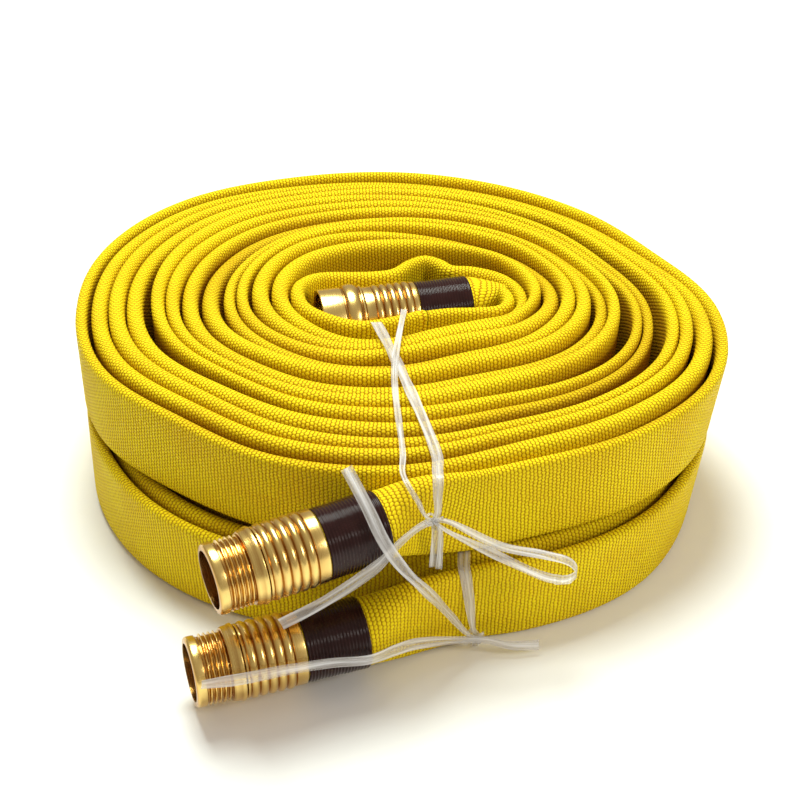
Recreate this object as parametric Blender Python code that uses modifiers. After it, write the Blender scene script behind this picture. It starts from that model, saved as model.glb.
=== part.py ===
"""Two lay-flat fire hoses, each wound into a roll, stacked and tied with plastic ribbon.

Metres, +Z up. The lower roll stands on z = 0. Seen from above, each hose runs clockwise from a
female swivel coupling in its hub to a male coupling outside, which points to -X at the -Y side.
"""
import math

import bmesh
import bpy
from mathutils import Matrix, Vector

# The wound hose, seen from above. The couplings in front and the uneven rims put the centre of
# the rolls beside the middle of the object's box.
ROLL_CENTRE = Vector((0.00312, 0.02747, 0.0))
ROLL_HEIGHT = 0.050
TURNS = 13 + 15 / 360
START_ANGLE = math.radians(-60)
OUTLINE_STEPS = 64
# Middle of the first wrap: distances from the hub's centre, every 30 degrees from +X
HUB_CENTRE = Vector((0.0, 0.018))
HUB_DISTANCES = (0.068, 0.058, 0.046, 0.037, 0.034, 0.049,
                 0.0565, 0.055, 0.048, 0.034, 0.031, 0.056)

# The hose: a woven jacket over a rubber lining
HOSE_RADIUS = 0.0162
JACKET_WALL = 0.0013
LINING_WALL = 0.0011
FLAT_HALF_THICKNESS = 0.00295
SECTION_POINTS = 12
BEND_SECTIONS = 9
OPENING_POWER = 4
# How far each loose end runs on along its own heading before it bends
TAIL_REACH = 0.022
HUB_REACH = 0.050
RETURN_REACH = 0.026

# Couplings, measured along the axis from the open end towards the hose
GAP = 0.0003
BORE_RADIUS = 0.0108
SHANK_RADIUS = 0.0122
BARB_RADIUS = 0.0128
NECK_RADIUS = 0.0132
FERRULE_BORE = HOSE_RADIUS + GAP
LIP_BORE = NECK_RADIUS + GAP
LIP_THICKNESS = 0.003
COLLAR_RADIUS = 0.0173
RIB_RADIUS = 0.0178
VALLEY_RADIUS = 0.0170
RIB_PITCH = 0.0043
RIB_COUNT = 5
SLEEVE_RADIUS = 0.0173
SLEEVE_LENGTH = 0.030
STRAIGHT_LENGTH = 0.002
TURN_STEPS = 18

THREAD_RADIUS = 0.01645
THREAD_ROOT = 0.0152
THREAD_PITCH = 0.0022
THREAD_COUNT = 5
SHOULDER_RADIUS = 0.0181
SHOULDER_START = 0.0168
SHOULDER_END = 0.0226
MALE_FERRULE_START = 0.0232
MALE_FERRULE_END = 0.0520

NUT_LENGTH = 0.024
NUT_SKIRT_RADIUS = 0.0186
NUT_BULGE_RADIUS = 0.0200
NUT_BULGE_START = 0.0135
NUT_BORE = 0.0166
NUT_SEAT = 0.0120
NUT_SEAT_RADIUS = 0.0158
NUT_WALL_START = 0.0202
NUT_WALL_BORE = 0.0136
FLANGE_RADIUS = 0.0154
FLANGE_START = 0.0160
GASKET_THICKNESS = 0.0027
FEMALE_FERRULE_START = NUT_LENGTH + 0.0004
FEMALE_FERRULE_END = 0.0545

# Each hose: height of its roll's underside, the rim its last wrap grows to (distances from the
# roll's centre, every 22.5 degrees from +X), and where its two couplings lie about that roll
ROLL_STEP = ROLL_HEIGHT + GAP
HOSES = {
    "lower": {
        "base": 0.0,
        "rim": (0.167, 0.163, 0.165, 0.168, 0.174, 0.180, 0.186, 0.185,
                0.181, 0.180, 0.180, 0.176, 0.166, 0.171, 0.175, 0.171),
        "male_tip": (-0.0960, -0.2110, 0.0230),
        "male_axis": (0.943, 0.331, 0.011),
        "female_tip": (-0.0446, 0.0088, 0.0250),
        "female_axis": (0.972, 0.236, 0.0),
    },
    "upper": {
        "base": ROLL_STEP,
        "rim": (0.171, 0.158, 0.160, 0.165, 0.173, 0.180, 0.190, 0.189,
                0.183, 0.177, 0.165, 0.165, 0.164, 0.160, 0.169, 0.176),
        "male_tip": (-0.0845, -0.2055, 0.0222),
        "male_axis": (0.911, 0.407, 0.060),
        "female_tip": (-0.0446, 0.0088, 0.0300),
        "female_axis": (0.972, 0.236, 0.0),
    },
}

# Tie ribbons, about the centre of the rolls with z from the floor
RIBBON_WIDTH = 0.0045
RIBBON_THICKNESS = 0.0005
RIBBON_STEPS = 3
GROOVE_WIDTH = 0.0065
GROOVE_DEPTH = 0.0012
WALL_CLEARANCE = 0.0026
CORNER_CLEARANCE = 0.0018
ROLL_FACE_Y = -0.1500
KNOT_SIZE = (0.0075, 0.0050, 0.0070)
KNOTS = {
    "upper": (0.0155, -0.1755, 0.0825),
    "lower": (0.0365, -0.1705, 0.0095),
}


def clear_scene():
    for old in list(bpy.data.objects):
        bpy.data.objects.remove(old, do_unlink=True)


def make_collection(name):
    group = bpy.data.collections.new(name)
    bpy.context.scene.collection.children.link(group)
    return group


def make_material(name, colour, roughness, metallic=0.0):
    material = bpy.data.materials.new(name)
    material.use_nodes = True
    shader = material.node_tree.nodes["Principled BSDF"]
    shader.inputs["Base Color"].default_value = (*colour, 1.0)
    shader.inputs["Roughness"].default_value = roughness
    shader.inputs["Metallic"].default_value = metallic
    return material


def add_object(name, mesh, group, material):
    mesh.materials.clear()
    mesh.materials.append(material)
    piece = bpy.data.objects.new(name, mesh)
    group.objects.link(piece)
    return piece


def mesh_from(name, shape):
    bmesh.ops.recalc_face_normals(shape, faces=shape.faces)
    mesh = bpy.data.meshes.new(name)
    shape.to_mesh(mesh)
    shape.free()
    return mesh


# ---------- the wound hose ----------

def distance_at(distances, angle):
    """Distance in a direction, on a smooth closed line through evenly spaced ones."""
    count = len(distances)
    place = (angle / (2 * math.pi) * count) % count
    index = int(place)
    share = place - index
    before, start, end, after = [distances[(index + step) % count] for step in (-1, 0, 1, 2)]
    return 0.5 * (2 * start + (end - before) * share
                  + (2 * before - 5 * start + 4 * end - after) * share ** 2
                  + (3 * start - before - 3 * end + after) * share ** 3)


def wound_point(rim, turn):
    """Centreline of the wound hose, seen from above, at a number of turns out from the hub."""
    angle = START_ANGLE - 2 * math.pi * turn
    direction = Vector((math.cos(angle), math.sin(angle)))
    first = HUB_CENTRE + direction * distance_at(HUB_DISTANCES, angle)
    last = direction * (distance_at(rim, angle) - FLAT_HALF_THICKNESS)
    return first.lerp(last, turn / TURNS)


def wound_heading(rim, turn):
    """Direction of travel along the wound hose, seen from above."""
    step = 0.001
    return (wound_point(rim, turn + step) - wound_point(rim, turn - step)).normalized()


def wound_side(rim, turn, offset):
    """A point beside the centreline; a positive offset is on the outer side."""
    heading = wound_heading(rim, turn)
    outward = Vector((-heading.y, heading.x))
    return wound_point(rim, turn) + outward * offset


def add_outline(curve, points):
    spline = curve.splines.new("POLY")
    spline.points.add(len(points) - 1)
    for slot, point in zip(spline.points, points):
        slot.co = (point.x, point.y, 0.0, 1.0)
    spline.use_cyclic_u = True


def curve_to_mesh_object(name, curve, location, group, material):
    """A curve object made a mesh, with its caps welded on."""
    source = bpy.data.objects.new(name + "_curve", curve)
    source.location = location
    group.objects.link(source)
    bpy.context.view_layer.update()
    evaluated = source.evaluated_get(bpy.context.evaluated_depsgraph_get())
    mesh = bpy.data.meshes.new_from_object(evaluated)
    shape = bmesh.new()
    shape.from_mesh(mesh)
    bmesh.ops.remove_doubles(shape, verts=shape.verts, dist=1e-5)
    piece = add_object(name, mesh_from(name, shape), group, material)
    piece.matrix_world = source.matrix_world
    bpy.data.objects.remove(source)
    return piece


def add_groove(piece, hub_x, face_x, height, group):
    """A shallow channel in the roll's flat side, from the hub to the front, for a ribbon."""
    name = f"{piece.name}_groove_{len(piece.modifiers)}"
    start = Vector((hub_x, hub_wall_y(hub_x)))
    end = Vector((face_x, ROLL_FACE_Y))
    run = end - start
    shape = bmesh.new()
    bmesh.ops.create_cube(shape, size=1.0)
    size = (GROOVE_WIDTH, 1.3 * run.length, 2 * GROOVE_DEPTH)
    bmesh.ops.scale(shape, vec=size, verts=shape.verts)
    cutter = bpy.data.objects.new(name, mesh_from(name, shape))
    middle = (start + end) / 2
    cutter.location = ROLL_CENTRE + Vector((middle.x, middle.y, height))
    cutter.rotation_euler.z = math.atan2(run.y, run.x) - math.pi / 2
    cutter.hide_render = True
    cutter.display_type = "WIRE"
    group.objects.link(cutter)
    cut = piece.modifiers.new(name, "BOOLEAN")
    cut.object = cutter
    cut.operation = "DIFFERENCE"
    cut.solver = "EXACT"


def build_roll(level, hose, parts, cutters, material):
    """The wound stretch as one solid: outside of the last wrap, inside of the first.

    Each outline ends in the square cut where a loose end of the hose goes on.
    """
    rim = hose["rim"]
    outer = []
    inner = []
    for step in range(OUTLINE_STEPS + 1):
        turn = step / OUTLINE_STEPS
        outer.append(wound_side(rim, TURNS - 1 + turn, FLAT_HALF_THICKNESS))
        inner.append(wound_side(rim, turn, -FLAT_HALF_THICKNESS))
    outer.append(wound_side(rim, TURNS, -FLAT_HALF_THICKNESS))
    inner.append(wound_side(rim, 0.0, FLAT_HALF_THICKNESS))
    curve = bpy.data.curves.new(f"{level}_roll_outline", "CURVE")
    curve.dimensions = "2D"
    curve.fill_mode = "BOTH"
    curve.extrude = ROLL_HEIGHT / 2
    add_outline(curve, outer)
    add_outline(curve, inner)
    middle = ROLL_CENTRE + Vector((0.0, 0.0, hose["base"] + ROLL_HEIGHT / 2))
    roll = curve_to_mesh_object(f"{level}_hose_roll", curve, middle, parts, material)
    for wrap in TIE_WRAPS:
        if wrap["level"] != level:
            continue
        add_groove(roll, wrap["hub_x"], wrap["back"][0][0], hose["base"], cutters)
        if wrap["over"] < 0:
            top = hose["base"] + ROLL_HEIGHT
            add_groove(roll, wrap["hub_x"], wrap["front"][-1][0], top, cutters)
    return roll


# ---------- the hose's loose ends ----------

def bend_point(start, start_reach, end, end_reach, share):
    """A point on a smooth curve that leaves and arrives along the given reaches."""
    points = [start, start + start_reach, end - end_reach, end]
    while len(points) > 1:
        points = [a.lerp(b, share) for a, b in zip(points, points[1:])]
    return points[0]


def hose_ring(centre, heading, half_thickness, inset):
    """One cross-section of the flattened tube, standing on edge, `inset` inside its surface."""
    tall = (Vector((0.0, 0.0, 1.0)) - heading * heading.z).normalized()
    across = tall.cross(heading)
    straight = math.pi * (HOSE_RADIUS - half_thickness)
    ring = []
    for index in range(SECTION_POINTS):
        angle = (index + 0.5) * 2 * math.pi / SECTION_POINTS
        rise = (half_thickness - inset) * math.sin(angle)
        rise += math.copysign(straight / 2, math.sin(angle))
        side = (half_thickness - inset) * math.cos(angle)
        ring.append(centre + tall * rise + across * side)
    return ring


def loft(name, rings, group, material, inner_rings=None):
    """A closed body through the rings; with inner rings it is a tube, open at both ends."""
    shape = bmesh.new()
    skins = []
    for skin in (rings, inner_rings or []):
        skins.append([[shape.verts.new(point) for point in ring] for ring in skin])
    for skin in skins:
        for lower, upper in zip(skin, skin[1:]):
            for index in range(len(lower)):
                after = (index + 1) % len(lower)
                shape.faces.new((lower[index], lower[after], upper[after], upper[index]))
    outer, inner = skins
    for end in (0, -1):
        if not inner:
            shape.faces.new(outer[end])
            continue
        for index in range(len(outer[end])):
            after = (index + 1) % len(outer[end])
            shape.faces.new((outer[end][index], outer[end][after],
                             inner[end][after], inner[end][index]))
    mesh = mesh_from(name, shape)
    mesh.shade_smooth()
    mesh.set_sharp_from_angle(angle=math.radians(40))
    return add_object(name, mesh, group, material)


def build_hose_end(name, stations, group, materials):
    """Jacket and lining of one end, through (centre, heading, half thickness) stations."""
    layers = (
        ("jacket", 0.0, JACKET_WALL),
        ("lining", JACKET_WALL + GAP, JACKET_WALL + GAP + LINING_WALL),
    )
    for layer, outside, inside in layers:
        outer = [hose_ring(*station, outside) for station in stations]
        inner = [hose_ring(*station, inside) for station in stations]
        loft(f"{name}_{layer}", outer, group, materials[layer], inner)


def end_stations(roll_point, roll_reach, round_end, hose_end, coupling_reach):
    """Stations from the flat end at the roll to the round end inside the coupling."""
    axis = (hose_end - round_end).normalized()
    bend = (roll_point, roll_reach, round_end, axis * coupling_reach)
    stations = []
    for step in range(BEND_SECTIONS):
        share = step / (BEND_SECTIONS - 1)
        centre = bend_point(*bend, share)
        ahead = bend_point(*bend, share + 0.01)
        half = FLAT_HALF_THICKNESS + (HOSE_RADIUS - FLAT_HALF_THICKNESS) * share ** OPENING_POWER
        stations.append((centre, (ahead - centre).normalized(), half))
    stations.append((hose_end, axis, HOSE_RADIUS))
    return stations


# ---------- couplings ----------

def coupling_frame(tip, axis):
    """Puts a turned piece's own Z along the coupling's axis, with its origin at the open end."""
    along = Vector(axis).normalized()
    level = Vector((0.0, 0.0, 1.0)).cross(along).normalized()
    turn = Matrix((level, along.cross(level), along)).transposed().to_4x4()
    return Matrix.Translation(tip) @ turn


def build_turned(name, profile, frame, group, material):
    """A turned ring: profile points (radius, z), outer side from the top down, then the bore."""
    mesh = bpy.data.meshes.new(name)
    points = [(radius, 0.0, height) for radius, height in profile]
    edges = [(index, (index + 1) % len(points)) for index in range(len(points))]
    mesh.from_pydata(points, edges, [])
    piece = add_object(name, mesh, group, material)
    piece.matrix_world = frame
    screw = piece.modifiers.new("turn", "SCREW")
    screw.axis = "Z"
    screw.angle = 2 * math.pi
    screw.steps = TURN_STEPS
    screw.render_steps = TURN_STEPS
    screw.use_merge_vertices = True
    screw.merge_threshold = 1e-5
    return piece


def shank_profile(end, start):
    """Barbed shank from the hose's side down to the neck, for both kinds of coupling."""
    points = [(SHANK_RADIUS - 0.0006, end), (SHANK_RADIUS, end - 0.0010)]
    for barb in range(3):
        crest = end - 0.0045 - barb * 0.0070
        points.append((SHANK_RADIUS, crest + 0.0012))
        points.append((BARB_RADIUS, crest))
        points.append((SHANK_RADIUS, crest - 0.0001))
    points.append((SHANK_RADIUS, start))
    points.append((NECK_RADIUS, start))
    return points


def male_body_profile():
    end = MALE_FERRULE_END - 0.002
    points = shank_profile(end, MALE_FERRULE_START + LIP_THICKNESS)
    points += [(NECK_RADIUS, SHOULDER_END), (SHOULDER_RADIUS - 0.0006, SHOULDER_END),
               (SHOULDER_RADIUS, SHOULDER_END - 0.0006), (SHOULDER_RADIUS, SHOULDER_START + 0.0006),
               (SHOULDER_RADIUS - 0.0006, SHOULDER_START), (THREAD_ROOT, SHOULDER_START)]
    for ridge in range(THREAD_COUNT):
        crest = SHOULDER_START - 0.0022 - ridge * THREAD_PITCH
        points.append((THREAD_RADIUS, crest))
        points.append((THREAD_ROOT, crest - THREAD_PITCH / 2))
    points += [(THREAD_ROOT, 0.0), (BORE_RADIUS, 0.0), (BORE_RADIUS, end)]
    return points


def ferrule_profile(start, end, plain_front):
    """Crimped ferrule: plain collar at the hose's side, ribs, then a lip round the neck."""
    first_rib = start + plain_front + RIB_COUNT * RIB_PITCH
    points = [(COLLAR_RADIUS, end), (COLLAR_RADIUS, first_rib)]
    for rib in range(RIB_COUNT):
        top = first_rib - rib * RIB_PITCH
        points.append((VALLEY_RADIUS, top - 0.25 * RIB_PITCH))
        points.append((RIB_RADIUS, top - 0.75 * RIB_PITCH))
    points.append((COLLAR_RADIUS, start + plain_front))
    points += [(COLLAR_RADIUS, start), (LIP_BORE, start), (LIP_BORE, start + LIP_THICKNESS),
               (FERRULE_BORE, start + LIP_THICKNESS), (FERRULE_BORE, end)]
    return points


def sleeve_profile(start):
    end = start + SLEEVE_LENGTH
    return [(SLEEVE_RADIUS, end), (SLEEVE_RADIUS, start), (FERRULE_BORE, start),
            (FERRULE_BORE, end)]


def nut_profile():
    bulge = NUT_LENGTH - NUT_BULGE_START
    points = [(NUT_SKIRT_RADIUS, NUT_LENGTH)]
    for step in range(1, 6):
        angle = math.pi * step / 6
        points.append((NUT_SKIRT_RADIUS + (NUT_BULGE_RADIUS - NUT_SKIRT_RADIUS) * math.sin(angle),
                       NUT_LENGTH - bulge * (1 - math.cos(angle)) / 2))
    points += [(NUT_SKIRT_RADIUS - 0.0006, NUT_BULGE_START), (NUT_SKIRT_RADIUS, 0.0125),
               (NUT_SKIRT_RADIUS, 0.0008), (NUT_SKIRT_RADIUS - 0.0008, 0.0), (NUT_BORE, 0.0),
               (NUT_BORE, NUT_SEAT), (NUT_SEAT_RADIUS, NUT_SEAT), (NUT_SEAT_RADIUS, NUT_WALL_START),
               (NUT_WALL_BORE, NUT_WALL_START), (NUT_WALL_BORE, NUT_LENGTH)]
    return points


def tailpiece_profile():
    end = FEMALE_FERRULE_END - 0.002
    points = shank_profile(end, FEMALE_FERRULE_START + LIP_THICKNESS)
    flange_back = NUT_WALL_START - GAP
    points += [(NECK_RADIUS, flange_back), (FLANGE_RADIUS, flange_back),
               (FLANGE_RADIUS, FLANGE_START), (BORE_RADIUS, FLANGE_START), (BORE_RADIUS, end)]
    return points


def gasket_profile():
    top = FLANGE_START - GAP
    bottom = top - GASKET_THICKNESS
    return [(FLANGE_RADIUS, top), (FLANGE_RADIUS, bottom), (BORE_RADIUS, bottom),
            (BORE_RADIUS, top)]


# ---------- ribbons ----------

def smooth_route(points):
    """Points on a smooth curve that passes through the route's own points."""
    route = [Vector(point) for point in points]
    route = [2 * route[0] - route[1]] + route + [2 * route[-1] - route[-2]]
    result = []
    for index in range(1, len(route) - 2):
        before, start, end, after = route[index - 1:index + 3]
        for step in range(RIBBON_STEPS):
            share = step / RIBBON_STEPS
            result.append(0.5 * (2 * start + (end - before) * share
                                 + (2 * before - 5 * start + 4 * end - after) * share ** 2
                                 + (3 * start - before - 3 * end + after) * share ** 3))
    result.append(route[-2])
    return result


def build_ribbon(name, points, across, group, material):
    """A flat strip along a route; `across` is about the direction of its width."""
    centre_line = smooth_route(points)
    rings = []
    for index, point in enumerate(centre_line):
        before = centre_line[max(index - 1, 0)]
        after = centre_line[min(index + 1, len(centre_line) - 1)]
        heading = (after - before).normalized()
        wide = Vector(across)
        wide = (wide - heading * wide.dot(heading)).normalized() * (RIBBON_WIDTH / 2)
        thick = heading.cross(wide).normalized() * (RIBBON_THICKNESS / 2)
        centre = point + ROLL_CENTRE
        rings.append([centre + wide + thick, centre - wide + thick,
                      centre - wide - thick, centre + wide - thick])
    loft(name, rings, group, material)


def build_knot(name, place, group, material):
    shape = bmesh.new()
    bmesh.ops.create_icosphere(shape, subdivisions=2, radius=0.5)
    bmesh.ops.scale(shape, vec=KNOT_SIZE, verts=shape.verts)
    knot = add_object(name, mesh_from(name, shape), group, material)
    knot.location = Vector(place) + ROLL_CENTRE


# A wrap leaves its knot upwards, goes over the roll, down the hub, under the roll and back up.
# `front` and `back` are its own bends between the knot and the roll's face, above and below.
TIE_WRAPS = (
    {"name": "upper_tie_wrap_wide", "level": "upper", "over": 0.0008, "hub_x": -0.0130,
     "front": ((0.0170, -0.1755, 0.0868), (0.0170, -0.1745, 0.0960), (0.0172, -0.1710, 0.1020),
               (0.0170, -0.1650, 0.1030)),
     "back": ((0.0080, -0.1730, 0.0508), (0.0080, -0.1780, 0.0530), (0.0095, -0.1800, 0.0620),
              (0.0125, -0.1775, 0.0782))},
    {"name": "upper_tie_wrap_narrow", "level": "upper", "over": 0.0020, "hub_x": 0.0045,
     "front": ((0.0115, -0.1775, 0.0868), (0.0090, -0.1790, 0.0960), (0.0055, -0.1770, 0.1030),
               (0.0040, -0.1690, 0.1045)),
     "back": ((0.0180, -0.1690, 0.0508), (0.0180, -0.1725, 0.0525), (0.0182, -0.1745, 0.0590),
              (0.0182, -0.1755, 0.0782))},
    {"name": "lower_tie_wrap", "level": "lower", "over": -0.0006, "hub_x": -0.0040,
     "front": ((0.0350, -0.1703, 0.0140), (0.0330, -0.1695, 0.0300), (0.0310, -0.1700, 0.0450),
               (0.0300, -0.1680, 0.0494)),
     "back": ((0.0360, -0.1660, 0.0006), (0.0360, -0.1683, 0.0016), (0.0360, -0.1693, 0.0035),
              (0.0362, -0.1700, 0.0052))},
)

TIE_ENDS = (
    {"name": "upper_tie_bow", "across": (0.0, 1.0, 0.35), "points": (
        (0.0205, -0.1765, 0.0835), (0.0450, -0.1800, 0.0720), (0.0660, -0.1780, 0.0650),
        (0.0800, -0.1760, 0.0560), (0.0810, -0.1750, 0.0495), (0.0750, -0.1740, 0.0475),
        (0.0660, -0.1740, 0.0505), (0.0460, -0.1770, 0.0630), (0.0205, -0.1765, 0.0785))},
    {"name": "upper_tie_tail", "across": (0.3, 0.3, 1.0), "points": (
        (0.0100, -0.1785, 0.0825), (0.0000, -0.1865, 0.0790), (-0.0090, -0.1935, 0.0725),
        (-0.0180, -0.1965, 0.0660), (-0.0360, -0.2010, 0.0550), (-0.0540, -0.2030, 0.0450))},
    {"name": "lower_tie_tail_right", "across": (0.0, 0.4, 1.0), "points": (
        (0.0410, -0.1720, 0.0090), (0.0530, -0.1735, 0.0065), (0.0670, -0.1715, 0.0050))},
    {"name": "lower_tie_tail_left", "across": (0.0, 0.0, 1.0), "points": (
        (0.0310, -0.1730, 0.0110), (0.0080, -0.1850, 0.0175), (-0.0020, -0.1940, 0.0215),
        (-0.0140, -0.2050, 0.0255), (-0.0300, -0.2090, 0.0275), (-0.0500, -0.2160, 0.0295),
        (-0.0700, -0.2235, 0.0308), (-0.0880, -0.2295, 0.0325))},
    {"name": "lower_tie_tail_up", "across": (1.0, 0.0, 0.3), "points": (
        (0.0325, -0.1755, 0.0150), (0.0220, -0.1815, 0.0340), (0.0120, -0.1885, 0.0525),
        (0.0020, -0.1930, 0.0680), (-0.0070, -0.1940, 0.0845), (-0.0150, -0.1860, 0.0990),
        (-0.0240, -0.1740, 0.1110))},
)


def hub_wall_y(x):
    """Where the front wall of the hub is, at a distance x along the hub."""
    left = math.radians(-125)
    right = START_ANGLE
    for _ in range(30):
        middle = (left + right) / 2
        if HUB_CENTRE.x + distance_at(HUB_DISTANCES, middle) * math.cos(middle) < x:
            left = middle
        else:
            right = middle
    return HUB_CENTRE.y + distance_at(HUB_DISTANCES, left) * math.sin(left) + FLAT_HALF_THICKNESS


def wrap_route(wrap):
    """Points of a ribbon round one roll, from its knot and back to it."""
    base = HOSES[wrap["level"]]["base"]
    over = base + ROLL_HEIGHT + wrap["over"]
    under = base + GROOVE_DEPTH / 2
    over_x = wrap["front"][-1][0]
    hub_x = wrap["hub_x"]
    under_x = wrap["back"][0][0]
    wall = hub_wall_y(hub_x)
    middle_y = (wall + ROLL_FACE_Y) / 2
    return (
        *wrap["front"],
        (over_x, ROLL_FACE_Y, over),
        ((over_x + hub_x) / 2, middle_y, over),
        (hub_x, wall - 0.0015, over),
        (hub_x, wall + CORNER_CLEARANCE, over - 0.0004),
        (hub_x, wall + WALL_CLEARANCE, over - 0.0030),
        (hub_x, wall + WALL_CLEARANCE, over - 0.0100),
        (hub_x, wall + WALL_CLEARANCE, under + 0.0100),
        (hub_x, wall + WALL_CLEARANCE, under + 0.0030),
        (hub_x, wall + CORNER_CLEARANCE, under + 0.0004),
        (hub_x, wall - 0.0015, under),
        ((under_x + hub_x) / 2, middle_y, under),
        (under_x, ROLL_FACE_Y, under),
        *wrap["back"],
    )


# ---------- the whole object ----------

def build_male_end(level, hose, parts, materials):
    tip = Vector(hose["male_tip"]) + ROLL_CENTRE + Vector((0.0, 0.0, hose["base"]))
    axis = Vector(hose["male_axis"]).normalized()
    frame = coupling_frame(tip, axis)
    ferrule = ferrule_profile(MALE_FERRULE_START, MALE_FERRULE_END, 0.0015)
    sleeve_start = MALE_FERRULE_END + GAP
    build_turned(f"{level}_male_body", male_body_profile(), frame, parts, materials["brass"])
    build_turned(f"{level}_male_ferrule", ferrule, frame, parts, materials["brass"])
    build_turned(f"{level}_male_sleeve", sleeve_profile(sleeve_start), frame, parts,
                 materials["sleeve"])
    heading = wound_heading(hose["rim"], TURNS).to_3d()
    start = wound_point(hose["rim"], TURNS).to_3d() + heading * GAP
    start += ROLL_CENTRE + Vector((0.0, 0.0, hose["base"] + ROLL_HEIGHT / 2))
    round_end = tip + axis * (sleeve_start + SLEEVE_LENGTH + STRAIGHT_LENGTH)
    hose_end = tip + axis * (MALE_FERRULE_START + LIP_THICKNESS + GAP)
    stations = end_stations(start, heading * TAIL_REACH, round_end, hose_end, TAIL_REACH)
    build_hose_end(f"{level}_tail", stations, parts, materials)


def build_female_end(level, hose, parts, materials):
    tip = Vector(hose["female_tip"]) + ROLL_CENTRE + Vector((0.0, 0.0, hose["base"]))
    axis = Vector(hose["female_axis"]).normalized()
    frame = coupling_frame(tip, axis)
    ferrule = ferrule_profile(FEMALE_FERRULE_START, FEMALE_FERRULE_END, 0.0055)
    sleeve_start = FEMALE_FERRULE_END + GAP
    build_turned(f"{level}_swivel_nut", nut_profile(), frame, parts, materials["brass"])
    build_turned(f"{level}_gasket", gasket_profile(), frame, parts, materials["lining"])
    build_turned(f"{level}_tailpiece", tailpiece_profile(), frame, parts, materials["brass"])
    build_turned(f"{level}_female_ferrule", ferrule, frame, parts, materials["brass"])
    build_turned(f"{level}_female_sleeve", sleeve_profile(sleeve_start), frame, parts,
                 materials["sleeve"])
    heading = -wound_heading(hose["rim"], 0.0).to_3d()
    start = wound_point(hose["rim"], 0.0).to_3d() + heading * GAP
    start += ROLL_CENTRE + Vector((0.0, 0.0, hose["base"] + ROLL_HEIGHT / 2))
    round_end = tip + axis * (sleeve_start + SLEEVE_LENGTH + STRAIGHT_LENGTH)
    hose_end = tip + axis * (FEMALE_FERRULE_START + LIP_THICKNESS + GAP)
    stations = end_stations(start, heading * HUB_REACH, round_end, hose_end, RETURN_REACH)
    build_hose_end(f"{level}_hub", stations, parts, materials)


def main():
    clear_scene()
    parts = make_collection("tied fire hose rolls")
    cutters = make_collection("cutters")
    materials = {
        "jacket": make_material("woven_jacket", (0.78, 0.58, 0.03), 0.75),
        "lining": make_material("rubber", (0.03, 0.03, 0.03), 0.6),
        "sleeve": make_material("shrink_sleeve", (0.035, 0.015, 0.018), 0.35),
        "brass": make_material("brass", (0.80, 0.52, 0.17), 0.22, 1.0),
        "ribbon": make_material("tie_ribbon", (0.85, 0.83, 0.76), 0.3),
    }
    for level, hose in HOSES.items():
        build_roll(level, hose, parts, cutters, materials["jacket"])
        build_female_end(level, hose, parts, materials)
        build_male_end(level, hose, parts, materials)
        build_knot(f"{level}_tie_knot", KNOTS[level], parts, materials["ribbon"])
    for wrap in TIE_WRAPS:
        build_ribbon(wrap["name"], wrap_route(wrap), (1.0, 0.0, 0.0), parts, materials["ribbon"])
    for end in TIE_ENDS:
        build_ribbon(end["name"], end["points"], end["across"], parts, materials["ribbon"])


main()
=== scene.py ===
"""Looks of two lay-flat fire hoses, each wound into a roll, stacked and tied with clear ribbon.

Metres, in the CAD model's own frame: the lower roll stands on z = 0, and the male couplings lie
on the -Y side and point to -X. Each hose is one continuous woven tube, from the swivel coupling in
its hub, round all its turns, to the male coupling outside.
"""
import math

import bpy
import numpy as np
from mathutils import Matrix, Vector


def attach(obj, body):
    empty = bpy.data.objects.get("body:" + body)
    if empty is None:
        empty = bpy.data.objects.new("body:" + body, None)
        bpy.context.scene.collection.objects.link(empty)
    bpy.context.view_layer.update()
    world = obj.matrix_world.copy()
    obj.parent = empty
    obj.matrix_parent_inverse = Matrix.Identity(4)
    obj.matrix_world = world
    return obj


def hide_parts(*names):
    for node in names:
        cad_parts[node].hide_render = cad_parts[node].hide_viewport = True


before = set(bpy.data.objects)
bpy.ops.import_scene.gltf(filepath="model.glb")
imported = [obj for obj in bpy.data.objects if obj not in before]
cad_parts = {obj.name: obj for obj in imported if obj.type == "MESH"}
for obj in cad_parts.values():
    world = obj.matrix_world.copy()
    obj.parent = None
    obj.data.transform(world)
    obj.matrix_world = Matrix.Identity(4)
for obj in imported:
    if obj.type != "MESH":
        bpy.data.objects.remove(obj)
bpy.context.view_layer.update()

# ---------- the winding, as in the CAD model; seen from above, about the rolls' centre ----------
ROLL_CENTRE = np.array((0.00312, 0.02747))
ROLL_HEIGHT = 0.050
TURNS = 13 + 15 / 360
START_ANGLE = math.radians(-60)
HUB_CENTRE = np.array((0.0, 0.018))
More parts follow.
